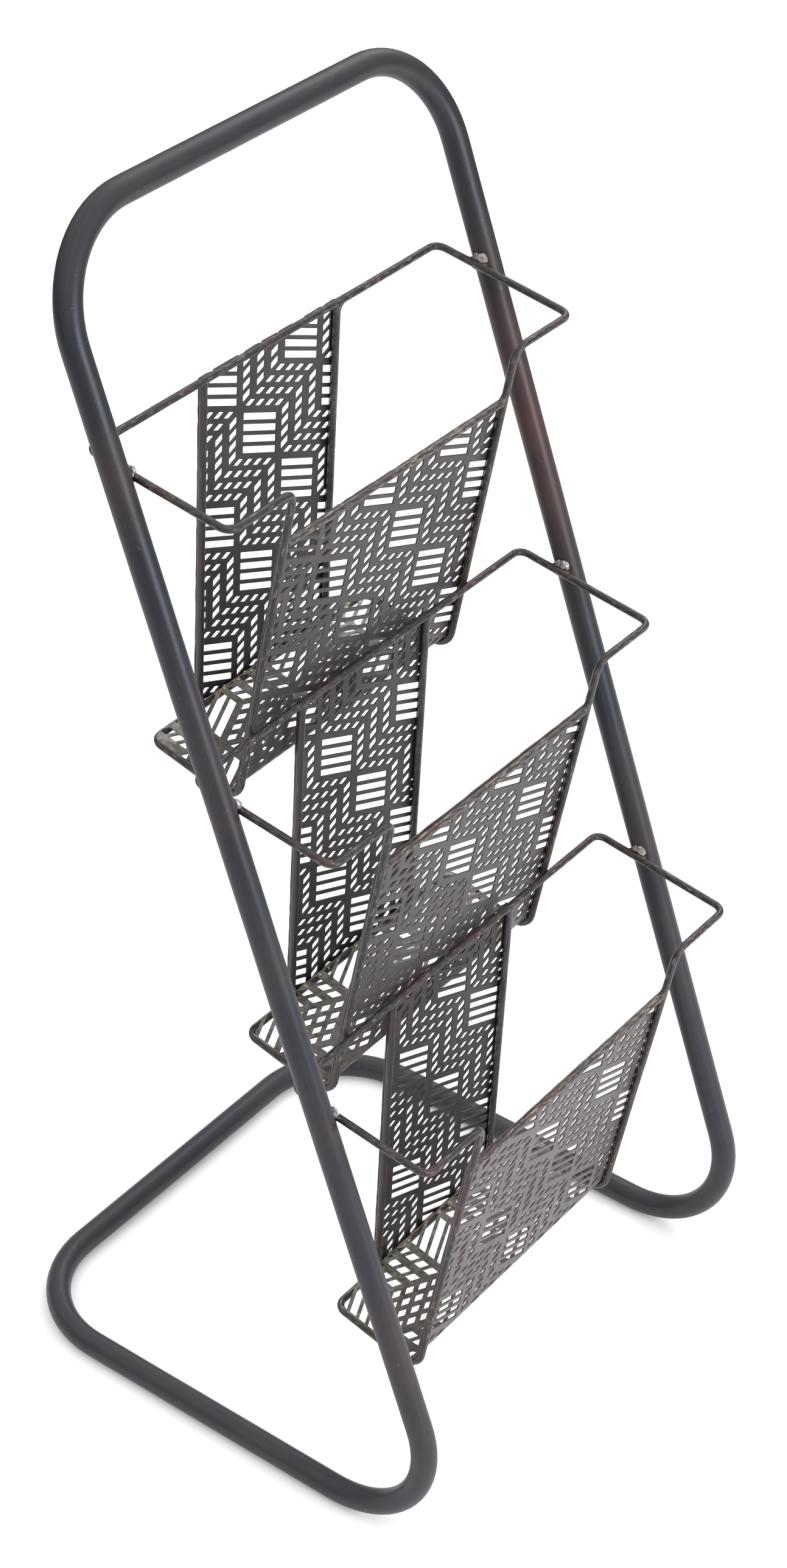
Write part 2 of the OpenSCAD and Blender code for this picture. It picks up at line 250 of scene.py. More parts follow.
def ring_mesh(path, radii, sides, closed, hollow=0):
    """Vertices, faces and flow coordinates of a round bar or, with hollow walls, of an open tube."""
    _, normals, others = path_frames(path, closed)
    along = arc_lengths(path)
    angles = np.arange(sides) * 2 * math.pi / sides
    ring = (
        np.cos(angles)[None, :, None] * normals[:, None, :]
        + np.sin(angles)[None, :, None] * others[:, None, :]
    )
    lengths = np.broadcast_to(along[:, None, None], (len(path), sides, 1))
    verts, flow = [], []
    for r in [radii, radii - hollow] if hollow else [radii]:
        verts.append((path[:, None, :] + ring * r[:, None, None]).reshape(-1, 3))
        around = np.stack([np.cos(angles), np.sin(angles)], 1)[None] * r[:, None, None]
        flow.append(np.concatenate([lengths, around], 2).reshape(-1, 3))
    faces = []
    count = len(path)
    size = count * sides
    for i in range(count if closed else count - 1):
        j = (i + 1) % count
        for k in range(sides):
            m = (k + 1) % sides
            quad = (i * sides + k, i * sides + m, j * sides + m, j * sides + k)
            faces.append(quad)
            if hollow:
                faces.append(tuple(size + q for q in reversed(quad)))
    if not closed:
        for i, flip in ((0, True), (count - 1, False)):
            ring = [i * sides + k for k in range(sides)]
            if hollow:
                for k in range(sides):
                    m = (k + 1) % sides
                    quad = (ring[k], ring[m], size + ring[m], size + ring[k])
                    faces.append(tuple(reversed(quad)) if not flip else quad)
            else:
                faces.append(tuple(reversed(ring)) if flip else tuple(ring))
    return np.concatenate(verts), faces, np.concatenate(flow)


def joined(parts):
    """Several (verts, faces, flow) meshes as one."""
    verts, faces, flow, base = [], [], [], 0
    for v, f, w in parts:
        verts.append(v)
        flow.append(w)
        faces += [tuple(base + i for i in face) for face in f]
        base += len(v)
    return np.concatenate(verts), faces, np.concatenate(flow)


def lump(centre, axes, seed, rough, rings=14, sides=20):
    """A closed, uneven weld bead: an ellipsoid on three axis vectors, pushed in and out by noise."""
    centre = np.asarray(centre, float)
    axes = np.asarray(axes, float)
    shift = Vector((seed * 3.7, seed * 1.9, seed * 2.3))
    directions = [np.array([0, 0, 1.0])]
    for i in range(1, rings):
        polar = math.pi * i / rings
        for k in range(sides):
            t = 2 * math.pi * k / sides
            directions.append(
                np.array([math.sin(polar) * math.cos(t), math.sin(polar) * math.sin(t), math.cos(polar)])
            )
    directions.append(np.array([0, 0, -1.0]))
    verts = []
    for d in directions:
        bumps = noise.noise(Vector(d * 1.6) + shift) + 0.45 * noise.noise(Vector(d * 4.5) - shift)
        verts.append(centre + (1 + rough * bumps) * (d @ axes))
    last = len(directions) - 1
    faces = []
    for k in range(sides):
        m = (k + 1) % sides
        faces.append((0, 1 + k, 1 + m))
        for i in range(rings - 2):
            a, b = 1 + i * sides, 1 + (i + 1) * sides
            faces.append((a + k, b + k, b + m, a + m))
        low = 1 + (rings - 2) * sides
        faces.append((low + m, low + k, last))
    verts = np.array(verts)
    if np.linalg.det(axes) < 0:
        faces = [tuple(reversed(face)) for face in faces]
    return verts, faces, verts - centre


# -------- materials


class Finish:
    """A material's node tree, with a short call for each kind of node that the finishes use."""

    def __init__(self, name):
        self.material = bpy.data.materials.new(name)
        self.material.use_nodes = True
        self.nodes = self.material.node_tree.nodes
        self.links = self.material.node_tree.links
        self.shader = self.nodes["Principled BSDF"]
        self.flow = self.attribute("flow")
        self.place = self.nodes.new("ShaderNodeTexCoord").outputs["Object"]

    def plug(self, value, socket):
        if isinstance(value, bpy.types.NodeSocket):
            self.links.new(value, socket)
        elif isinstance(value, tuple) and len(value) == 3 and socket.type == "RGBA":
            socket.default_value = (*value, 1)
        else:
            socket.default_value = value

    def attribute(self, name, number=False):
        node = self.nodes.new("ShaderNodeAttribute")
        node.attribute_name = name
        return node.outputs["Fac" if number else "Vector"]

    def stretch(self, vector, scale):
        node = self.nodes.new("ShaderNodeMapping")
        self.plug(vector, node.inputs["Vector"])
        node.inputs["Scale"].default_value = scale
        return node.outputs["Vector"]

    def turned(self, vector, angle, scale):
        node = self.nodes.new("ShaderNodeMapping")
        self.plug(vector, node.inputs["Vector"])
        node.inputs["Rotation"].default_value = (0, 0, angle)
        turned = node.outputs["Vector"]
        return self.stretch(turned, scale)

    def noise(self, vector, scale=1.0, detail=3.0, rough=0.5, distort=0.0):
        node = self.nodes.new("ShaderNodeTexNoise")
        self.plug(vector, node.inputs["Vector"])
        node.inputs["Scale"].default_value = scale
        node.inputs["Detail"].default_value = detail
        node.inputs["Roughness"].default_value = rough
        node.inputs["Distortion"].default_value = distort
        return node.outputs["Fac"]

    def between(self, value, low, high, start=0.0, end=1.0):
        """value from low to high becomes start to end, and stays there outside."""
        node = self.nodes.new("ShaderNodeMapRange")
        for socket, number in zip(node.inputs[1:5], (low, high, start, end)):
            socket.default_value = number
        self.plug(value, node.inputs["Value"])
        return node.outputs["Result"]

    def sum(self, *values):
        total = values[0]
        for value in values[1:]:
            total = self.maths("ADD", total, value)
        return total

    def times(self, a, b):
        return self.maths("MULTIPLY", a, b)

    def maths(self, operation, a, b):
        node = self.nodes.new("ShaderNodeMath")
        node.operation = operation
        self.plug(a, node.inputs[0])
        self.plug(b, node.inputs[1])
        return node.outputs[0]

    def mix(self, share, a, b):
        """Colour a where share is 0, and b where it is 1."""
        node = self.nodes.new("ShaderNodeMix")
        node.data_type = "RGBA"
        self.plug(share, node.inputs["Factor"])
        self.plug(a, node.inputs["A"])
        self.plug(b, node.inputs["B"])
        return node.outputs["Result"]

    def bump(self, height, depth, under=None):
        """depth is in metres, for a height of 1."""
        node = self.nodes.new("ShaderNodeBump")
        node.inputs["Distance"].default_value = depth
        self.plug(height, node.inputs["Height"])
        if under is not None:
            self.plug(under, node.inputs["Normal"])
        return node.outputs["Normal"]

    def done(self, colour, roughness, metallic, normal, specular=0.5):
        self.plug(colour, self.shader.inputs["Base Color"])
        self.plug(roughness, self.shader.inputs["Roughness"])
        self.plug(metallic, self.shader.inputs["Metallic"])
        self.plug(normal, self.shader.inputs["Normal"])
        self.shader.inputs["Specular IOR Level"].default_value = specular
        return self.material


def tube_finish():
    """Blackened steel tube: neutral dark with brown clouds, a satin grain, fine scratches and specks."""
    f = Finish("tube_steel")
    clouds = f.between(f.noise(f.place, 11, 4, 0.55, 0.4), 0.38, 0.66)
    streaks = f.noise(f.stretch(f.flow, (14, 420, 420)), 1, 4, 0.6)
    grain = f.noise(f.place, 1500, 2, 0.6)
    base = f.mix(clouds, (0.024, 0.024, 0.030), (0.034, 0.030, 0.032))
    base = f.mix(f.between(streaks, 0.45, 0.75, 0, 0.4), base, (0.048, 0.044, 0.046))
    heat = f.times(f.attribute("scorch", True), f.between(f.noise(f.place, 38, 4), 0.3, 0.6, 0.35, 1))
    base = f.mix(heat, base, (0.066, 0.038, 0.036))
    specks = f.between(f.noise(f.stretch(f.flow, (160, 420, 420)), 1, 2, 0.5), 0.74, 0.80)
    scuffs = f.between(f.noise(f.stretch(f.flow, (700, 90, 90)), 1, 2, 0.5, 0.8), 0.75, 0.80)
    marks = f.maths("MAXIMUM", specks, scuffs)
    base = f.mix(f.times(marks, 0.5), base, (0.24, 0.21, 0.19))
    roughness = f.sum(f.between(grain, 0.3, 0.7, 0.32, 0.46), f.between(clouds, 0, 1, 0, 0.06))
    normal = f.bump(grain, 0.00003)
    normal = f.bump(streaks, 0.00002, normal)
    cool = f.mix(clouds, (0.80, 0.88, 1.0), (0.95, 0.93, 0.96))
    f.plug(f.mix(heat, cool, (1.0, 0.80, 0.78)), f.shader.inputs["Specular Tint"])
    return f.done(base, roughness, 0.1, normal, 0.38)


def rod_finish(name, dark, worn, wear, red=0.5, grain=70):
    """Drawn rod, blackened and rubbed: worn streaks run along it, with reddish heat tints between them."""
    f = Finish(name)
    across = max(800, 1.5 * grain)
    streaks = f.noise(f.stretch(f.flow, (grain, across, across)), 1, 5, 0.65, 0.3)
    patches = f.noise(f.place, 34, 4, 0.6)
    pits = f.noise(f.stretch(f.flow, (900, 1400, 1400)), 1, 3, 0.6)
    rubbed = f.times(f.between(streaks, 0.62 - wear, 0.80 - wear), f.between(patches, 0.38, 0.62, 0.25, 1))
    tint = f.between(f.noise(f.place, 21, 3, 0.5, 0.5), 0.48, 0.66, 0, red)
    base = f.mix(tint, dark, (0.085, 0.036, 0.032))
    base = f.mix(rubbed, base, worn)
    base = f.mix(f.between(pits, 0.62, 0.72, 0, 0.7), base, (0.012, 0.011, 0.011))
    roughness = f.between(f.sum(streaks, f.times(pits, 0.5)), 0.5, 1.0, 0.28, 0.52)
    normal = f.bump(streaks, 0.00012)
    normal = f.bump(pits, 0.00008, normal)
    return f.done(base, roughness, f.between(rubbed, 0, 1, 0.25, 0.8), normal)


def sheet_finish(name, plain, pale, brush, tray, rear):
    """Blackened sheet steel: fine brushing, cloudy colour, reddish cut edges, a tray browned by heat."""

    def tone(colour, share):
        return tuple(share * c for c in colour)

    f = Finish(name)
    clouds = f.between(f.noise(f.place, 26, 4, 0.6, 0.3), 0.36, 0.66)
    brushed = f.noise(f.turned(f.flow, brush, (1500, 70, 300)), 1, 4, 0.65)
    scratches = f.noise(f.turned(f.flow, brush + 0.5, (2200, 40, 300)), 1, 3, 0.5)
    pits = f.noise(f.place, 700, 3, 0.6)
    base = f.mix(clouds, plain, pale)
    base = f.mix(f.between(brushed, 0.45, 0.72, 0, 0.45), base, tone(pale, 1.7))
    base = f.mix(f.between(scratches, 0.68, 0.78, 0, 0.35), base, tone(pale, 2.2))
    tint = f.between(f.noise(f.place, 38, 3, 0.5, 0.6), 0.50, 0.66, 0, 0.25)
    base = f.mix(tint, base, (0.090, 0.050, 0.050))
    burnt = f.attribute("burnt", True)
    mottle = f.noise(f.place, 170, 5, 0.7, 0.5)
    brown = f.mix(f.between(mottle, 0.36, 0.64), tone(tray, 0.5), tone(tray, 1.3))
    khaki = f.mix(f.between(mottle, 0.36, 0.64), tone(rear, 0.35), tone(rear, 1.3))
    base = f.mix(f.between(burnt, 0, 0.5), base, brown)
    base = f.mix(f.between(f.sum(burnt, f.times(mottle, 0.3)), 0.8, 1.15), base, khaki)
    base = f.mix(f.times(f.attribute("halo", True), 0.8), base, (0.36, 0.32, 0.26))
    cut = f.times(f.attribute("cut", True), f.between(f.noise(f.place, 90, 2), 0.3, 0.6, 0.3, 1))
    base = f.mix(f.times(cut, 0.6), base, (0.10, 0.058, 0.050))
    roughness = f.between(f.sum(brushed, f.times(pits, 0.4)), 0.5, 0.9, 0.34, 0.54)
    normal = f.bump(brushed, 0.00003)
    normal = f.bump(mottle, 0.00004, normal)
    return f.done(base, roughness, 0.3, normal)


def weld_finish(name, bright, dark, dark_share, rough=0.3):
    """A weld bead: bright metal with dark pits and burnt hollows, and dark all over where burnt is 1."""
    f = Finish(name)
    hollows = f.noise(f.place, 420, 4, 0.65, 0.4)
    ripples = f.noise(f.place, 1400, 3, 0.6)
    pits = f.between(hollows, 0.62 - dark_share / 2, 0.72 - dark_share / 2)
    burnt = f.maths("MAXIMUM", pits, f.attribute("burnt", True))
    base = f.mix(burnt, bright, dark)
    base = f.mix(f.between(ripples, 0.55, 0.75, 0, 0.25), base, bright)
    roughness = f.between(ripples, 0.3, 0.7, rough - 0.06, rough + 0.2)
    normal = f.bump(hollows, 0.00025)
    normal = f.bump(ripples, 0.00008, normal)
    return f.done(base, roughness, f.between(burnt, 0, 1, 0.85, 0.3), normal)


TUBE_STEEL = tube_finish()
SPIGOT_STEEL = rod_finish("spigot_steel", (0.20, 0.20, 0.21), (0.5, 0.5, 0.5), 0.1, red=0.1)
ROD_STEEL = rod_finish("rod_steel", (0.028, 0.025, 0.025), (0.32, 0.28, 0.25), 0.10,
                       red=0.42, grain=150)
CROSS_STEEL = rod_finish("cross_steel", (0.042, 0.036, 0.034), (0.40, 0.36, 0.32), 0.14,
                         red=0.45, grain=150)
# Both posts are the same rod. The right post's many light grey flecks (more wear, short grain) are partly
# its own pitting and partly a painted speckled highlight.
POST_STEEL = {
    "left": rod_finish("left_post_steel", (0.040, 0.035, 0.036), (0.24, 0.22, 0.22), 0.05),
    "right": rod_finish("right_post_steel", (0.034, 0.033, 0.034), (0.25, 0.24, 0.25), 0.19,
                        red=0.1, grain=900),
}
# One stock for the three front sheets. Their plain and pale tones get lighter tier by tier downwards:
# painted light from the low front lamp, which falls more on the lower sheets. The top sheet's darker tone
# is painted shade.
FRONT_STEEL_WITH_PAINTED_LIGHT = {
    "top": sheet_finish("front_sheet_top", (0.026, 0.025, 0.027), (0.039, 0.037, 0.039), 0.0,
                        (0.085, 0.072, 0.066), (0.22, 0.205, 0.185)),
    "middle": sheet_finish("front_sheet_middle", (0.043, 0.040, 0.041), (0.060, 0.056, 0.057), 0.0,
                           (0.140, 0.124, 0.112), (0.19, 0.178, 0.16)),
    "bottom": sheet_finish("front_sheet_bottom", (0.078, 0.069, 0.071), (0.115, 0.101, 0.103), 0.0,
                           (0.105, 0.090, 0.080), (0.21, 0.195, 0.17)),
}
# One stock for the three back sheets; the bottom tier's darker plain and pale tones are painted shade.
BACK_STEEL_WITH_PAINTED_SHADE = {
    "top": sheet_finish("back_sheet_top", (0.024, 0.022, 0.022), (0.052, 0.049, 0.049), 0.7,
                        (0.044, 0.040, 0.038), (0.08, 0.075, 0.065)),
    "middle": sheet_finish("back_sheet_middle", (0.022, 0.021, 0.021), (0.052, 0.049, 0.049), 0.7,
                           (0.044, 0.040, 0.038), (0.08, 0.075, 0.065)),
    "bottom": sheet_finish("back_sheet_bottom", (0.013, 0.012, 0.012), (0.028, 0.026, 0.026), 0.7,
                           (0.060, 0.050, 0.046), (0.10, 0.09, 0.08)),
}
FRAME_WELD = weld_finish("bright_weld", (0.48, 0.45, 0.42), (0.055, 0.048, 0.045), 0.05, rough=0.34)
ROD_WELD = weld_finish("dull_weld", (0.28, 0.26, 0.24), (0.04, 0.036, 0.035), 0.3)
TACK_WELD = weld_finish("golden_tack", (0.48, 0.41, 0.31), (0.20, 0.16, 0.12), 0.1)

# -------- frame tubes

low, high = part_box("frame_floor_tube")
MIDDLE_X = (low.x + high.x) / 2
FOOT = np.array([MIDDLE_X, high.y - TUBE_R - FLOOR_LEN, low.z + TUBE_R])
SEAM_AT = FOOT_BEND * math.tan((math.pi / 2 + LEAN) / 2) + SEAM_GAP
TUBE_SIDES = 64
TUBE_SKIN = 0.06 * MM
TUBE_DRIFT = 0.08 * MM
TUBE_END = 30 * MM
TUBE_WAVE = 160 * MM
TUBE_RIPPLE = 30 * MM
LONG_PATCH = 85 * MM
WELD_PATCH = 22 * MM
LOW_PATCH = 40 * MM


def side_point(side, v):
    return FOOT + np.array([side * FRAME_W / 2, 0, 0]) + v


def tube_piece(name, corners, bends, seed):
    path = bent_path(corners, bends)
    to_end = np.minimum(arc_lengths(path), arc_lengths(path[::-1])[::-1])
    inner = np.minimum(1, to_end / TUBE_END)
    radii = TUBE_R - TUBE_SKIN * (1 + inner * wander(path, seed, TUBE_RIPPLE, 1)[:, 0])
    drift = wander(path, seed + 5, TUBE_WAVE, TUBE_DRIFT)
    drift[:, 2] = np.where(path[:, 2] < 4 * TUBE_R, 0, drift[:, 2])
    path = path + drift * inner[:, None]
    verts, faces, flow = ring_mesh(path, radii, TUBE_SIDES, False, hollow=TUBE_WALL)
    add_piece(name, verts, faces, TUBE_STEEL, name,
              attributes=[("flow", "FLOAT_VECTOR", flow), ("scorch", "FLOAT", tube_scorch(verts))])


def tube_scorch(verts):
    """Reddish heat marks: round every crossing weld, and one long patch on the right upright."""
    along = (verts - FOOT) @ UP
    right = np.where(verts[:, 0] > MIDDLE_X + FRAME_W / 2 - TUBE_R - 1 * MM, 1.0, 0.0)
    patch_at = FIRST_BASKET + 1.5 * BASKET_PITCH
    heat = right * np.exp(-(((along - patch_at) / LONG_PATCH) ** 4))
    spots = [
        (basket_origin(tier) + CROSSING + np.array([side * FRAME_W / 2, 0, 0]), WELD_PATCH, 0.3)
        for tier in TIERS
        for side in (-1, 1)
    ]
    spots.append((side_point(-1, (FIRST_BASKET - 0.75 * BASKET_PITCH) * UP), LOW_PATCH, 0.35))
    for centre, size, strength in spots:
        away = np.linalg.norm(verts - centre, axis=1) / size
        heat = np.maximum(heat, strength * np.exp(-away * away))
    return heat


def build_frame():
    tube_piece(
        "frame_upper_tube",
        [
            side_point(-1, SEAM_AT * UP),
            side_point(-1, UPRIGHT_LEN * UP),
            side_point(1, UPRIGHT_LEN * UP),
            side_point(1, SEAM_AT * UP),
        ],
        [0, TOP_BEND, TOP_BEND, 0],
        1,
    )
    rear = np.array([0, FLOOR_LEN, 0])
    tube_piece(
        "frame_floor_tube",
        [
            side_point(-1, SEAM_AT * UP),
            side_point(-1, 0),
            side_point(-1, rear),
            side_point(1, rear),
            side_point(1, 0),
            side_point(1, SEAM_AT * UP),
        ],
        [0, FOOT_BEND, REAR_BEND, REAR_BEND, FOOT_BEND, 0],
        2,
    )
    for side in ("left", "right"):
        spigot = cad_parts[f"{side}_seam_spigot"]
        spigot.data.materials.clear()
        spigot.data.materials.append(SPIGOT_STEEL)


# -------- basket rods

ROD_SIDES = 20
ROD_DRIFT = 0.18 * MM
ROD_SWELL = 0.018
ROD_STEP = 3 * MM
ROD_END = 12 * MM
ROD_WAVE = 45 * MM
ROD_RIPPLE = 9 * MM


def rod_mesh(path, seed, closed):
    """A slightly uneven rod along a path; the ends of an open one stay put."""
    sway = wander(path, seed, ROD_WAVE, ROD_DRIFT)
    if not closed:
        lengths = arc_lengths(path)
        share = np.minimum(lengths, lengths[-1] - lengths) / ROD_END
        sway *= np.clip(share, 0, 1)[:, None]
    radii = ROD_R * (1 + ROD_SWELL * wander(path, seed + 3, ROD_RIPPLE, 1)[:, 0])
    return ring_mesh(path + sway, radii, ROD_SIDES, closed)


def basket_rod(tier, origin, seed):
    side = [
        [RIM_X, 0, 0],
        [RIM_X, *RIM_FRONT[1:]],
        [FRONT_X, *RIM_FRONT[1:]],
        [FRONT_X, *TRAY_FRONT[1:]],
        [FRONT_X, *TRAY_REAR[1:]],
    ]
    bends = [RIM_BEND, RIM_BEND, STUB_BEND, TRAY_BEND, TRAY_CORNER]
    other = [[-x, y, z] for x, y, z in reversed(side)]
    bends += bends[::-1]
    path = bent_path(side + other, bends, closed=True, step=ROD_STEP, turn_step=math.radians(8))
    verts, faces, flow = rod_mesh(path, seed, True)
    add_piece(f"{tier}_basket_rod", verts + origin, faces, ROD_STEEL, f"{tier}_basket_rod",
              attributes=[("flow", "FLOAT_VECTOR", flow)])


def straight_rod(name, a, b, origin, material, seed):
    ends = [a + ROD_R * 0.6 * unit(b - a), b - ROD_R * 0.6 * unit(b - a)]
    path = np.array([ends[0], *straight_points(ends[0], ends[1], ROD_STEP), ends[1]])
    verts, faces, flow = rod_mesh(path, seed, False)
    add_piece(name, verts + origin, faces, material, name,
              attributes=[("flow", "FLOAT_VECTOR", flow)])


def straight_rods(tier, origin, seed):
    half = np.array([FRONT_X, 0, 0])
    straight_rod(f"{tier}_basket_cross_rod", CROSS_MID - half, CROSS_MID + half, origin,
                 CROSS_STEEL, seed)
    for side, name in ((-1, "left"), (1, "right")):
        top = np.array([side * POST_X, 0, 0])
        straight_rod(f"{tier}_basket_{name}_post", top, top + TRAY_REAR, origin,
                     POST_STEEL[name], seed + 4 + side)


# -------- perforated sheets

SLOT_COUNT = 4
SLOT_PITCH = 8.55 * MM
SLOT_H = 5.2 * MM
SLOT_FAR = 38.5 * MM
SLOT_NEAR = 3 * MM
SLOT_Y = 3.5 * MM
BLOCK_COLUMNS = 3
BLOCK_AT = 3 * MM
BLOCK_W = 7.6 * MM
BLOCK_H = 5.7 * MM
BLOCK_PITCH_X = 14.7 * MM
BLOCK_PITCH_Y = 8.8 * MM
DIAMOND_COUNT = 4
DIAMOND_X = 10.5 * MM
DIAMOND_Y = 4.45 * MM
DIAMOND_FILL = 0.54
HOLE_ROUNDING = 0.5 * MM
EDGE_BEVEL = 0.12 * MM
CUT_WIDER = EDGE_BEVEL + 0.15 * MM
SIDE_STRIP = 0.8 * MM
REAR_BORDER = 4.5 * MM
REAR_STRIP = 0.9 * MM
SMALLEST_HOLE = 1.2 * MM
SOLID_LIP = 1.2 * MM
CUT_UNIT = 1 / MM


def rounded(corners, r):
    """A polygon's points with every corner cut back by up to r and rounded."""
    points = []
    for i, corner in enumerate(corners):
        p = np.array(corner)
        a = np.array(corners[i - 1]) - p
        b = np.array(corners[(i + 1) % len(corners)]) - p
        start = p + a * min(r / np.linalg.norm(a), 0.4)
        end = p + b * min(r / np.linalg.norm(b), 0.4)
        points += [start, (start + 2 * p + end) / 4, end]
    return points


def slanted_hole(x, y, w, h, fall):
    """Its sides are upright, its top and bottom fall by fall for each unit of width."""
    x, y = x - CUT_WIDER, y - CUT_WIDER
    w, h = w + 2 * CUT_WIDER, h + 2 * CUT_WIDER
    top = [(x, y + x * fall), (x + w, y + (x + w) * fall)]
    return top + [(px, py + h) for px, py in reversed(top)]


def diamond_hole(x, y):
    w = DIAMOND_X * DIAMOND_FILL + 2 * CUT_WIDER
    h = DIAMOND_Y * DIAMOND_FILL + CUT_WIDER
    return [(x - w, y), (x, y - h), (x + w, y), (x, y + h)]


def cell_holes(x, y):
    """One cell is a cube seen from a corner: slots, blocks and diamonds on its three faces."""
    for i in range(SLOT_COUNT):
        line = y - SLANT * x + SLOT_Y + i * SLOT_PITCH
        yield slanted_hole(x - SLOT_FAR, line, SLOT_FAR - SLOT_NEAR, SLOT_H, SLANT)
    for k in range(BLOCK_COLUMNS):
        for i in range(SLOT_COUNT):
            line = y + SLANT * x + BLOCK_AT + i * BLOCK_PITCH_Y
            yield slanted_hole(x + BLOCK_AT + k * BLOCK_PITCH_X, line, BLOCK_W, BLOCK_H, -SLANT)
    for i in range(DIAMOND_COUNT):
        for j in range(DIAMOND_COUNT):
            down = (i + j - DIAMOND_COUNT + 1) * DIAMOND_Y - SLANT * HALF_CELL
            yield diamond_hole(x + (i - j) * DIAMOND_X, y + down)


def clipped(corners, axis, sign, limit):
    """The part of a polygon where sign times the coordinate on the axis is less than the limit."""
    kept = []
    for i, corner in enumerate(corners):
        before = corners[i - 1]
        room_before = limit - sign * before[axis]
        room = limit - sign * corner[axis]
        if (room_before > 0) != (room > 0):
            share = room_before / (room_before - room)
            kept.append(tuple(p + share * (q - p) for p, q in zip(before, corner)))
        if room > 0:
            kept.append(corner)
    return kept


def pattern(cells, half_w, top, bottom):
    """Every hole below the top; holes end there, and a little before the sides and the bottom.

    cells is the place of one cell's corner, then the width and height from cell to cell.
    """
    at_x, at_y, cell_w, cell_h = cells
    first = math.floor((top - at_y) / cell_h) - 1
    last = math.ceil((bottom - at_y) / cell_h) + 1
    holes = []
    for row in range(first, last + 1):
        for column in range(-3, 4):
            x = at_x + (column + (row % 2) / 2) * cell_w
            for hole in cell_holes(x, at_y + row * cell_h):
                hole = clipped(hole, 1, 1, bottom - REAR_STRIP)
                hole = clipped(hole, 1, -1, -top)
                for sign in (-1, 1):
                    hole = clipped(hole, 0, sign, half_w - SIDE_STRIP)
                if hole and big_enough(hole):
                    holes.append(rounded(hole, HOLE_ROUNDING))
    return holes


def big_enough(hole):
    return all(max(p[axis] for p in hole) - min(p[axis] for p in hole) > SMALLEST_HOLE for axis in (0, 1))


def clearance(x, y, hole):
    """How far a point on the sheet is from a hole's edge, or 0 if it is inside the hole."""
    p = np.array([x, y])
    nearest = math.inf
    inside = False
    for a, b in zip(hole, hole[1:] + hole[:1]):
        share = np.clip((p - a) @ (b - a) / ((b - a) @ (b - a)), 0, 1)
        nearest = min(nearest, np.linalg.norm(p - a - share * (b - a)))
        crosses = (a[1] > y) != (b[1] > y)
        if crosses and x < a[0] + (y - a[1]) / (b[1] - a[1]) * (b[0] - a[0]):
            inside = not inside
    return 0 if inside else nearest


def uneven_line(a, b, rng, step, size):
    """Points from a to b, without b, that wander sideways by up to size."""
    a, b = np.array(a), np.array(b)
    along = unit(b - a)
    across = np.array([-along[1], along[0]])
    count = max(2, int(np.linalg.norm(b - a) / step))
    points = [a]
    for i in range(1, count):
        t = (i + rng.uniform(-0.3, 0.3)) / count
        points.append(a + (b - a) * t + across * rng.uniform(-size, size))
    return points


def cut_sheet(outline, holes, levels, half_w, spots):
    """Triangles of a flat sheet: the outline less the holes, with extra cuts across at the levels."""
    points, edges, loops = [], [], []

    def add_loop(loop):
        start = len(points)
        points.extend(Vector((p[0] * CUT_UNIT, p[1] * CUT_UNIT)) for p in loop)
        loops.append(list(range(start, start + len(loop))))

    def area(loop):
        p = np.array(loop)
        q = np.roll(p, -1, 0)
        return np.sum(p[:, 0] * q[:, 1] - p[:, 1] * q[:, 0])

    for loop in [outline] + holes:
        add_loop(loop if area(loop) > 0 else loop[::-1])
    for level in levels:
        start = len(points)
        points.extend(Vector((s * (half_w + 3 * MM) * CUT_UNIT, level * CUT_UNIT)) for s in (-1, 1))
        edges.append((start, start + 1))
    points.extend(Vector((x * CUT_UNIT, y * CUT_UNIT)) for x, y in spots)
    verts, _, faces, _, _, face_loops = delaunay_2d_cdt(points, edges, loops, 1, 1e-5)
    kept = [f for f, inside in zip(faces, face_loops) if list(inside) == [0]]
    return np.array([(v.x, v.y) for v in verts]) / CUT_UNIT, largest_piece(kept)


def largest_piece(faces):
    """The faces of the largest connected piece, so that no loose island is left in the air."""
    owner = {}
    for i, face in enumerate(faces):
        for a, b in zip(face, face[1:] + face[:1]):
            owner.setdefault((min(a, b), max(a, b)), []).append(i)
    beside = [[] for _ in faces]
    for pair in owner.values():
        if len(pair) == 2:
            beside[pair[0]].append(pair[1])
            beside[pair[1]].append(pair[0])
    group = [-1] * len(faces)
    best = []
    for i in range(len(faces)):
        if group[i] < 0:
            stack, members = [i], []
            group[i] = i
            while stack:
                j = stack.pop()
                members.append(j)
                for k in beside[j]:
                    if group[k] < 0:
                        group[k] = i
                        stack.append(k)
            best = max(best, members, key=len)
    return [faces[i] for i in best]


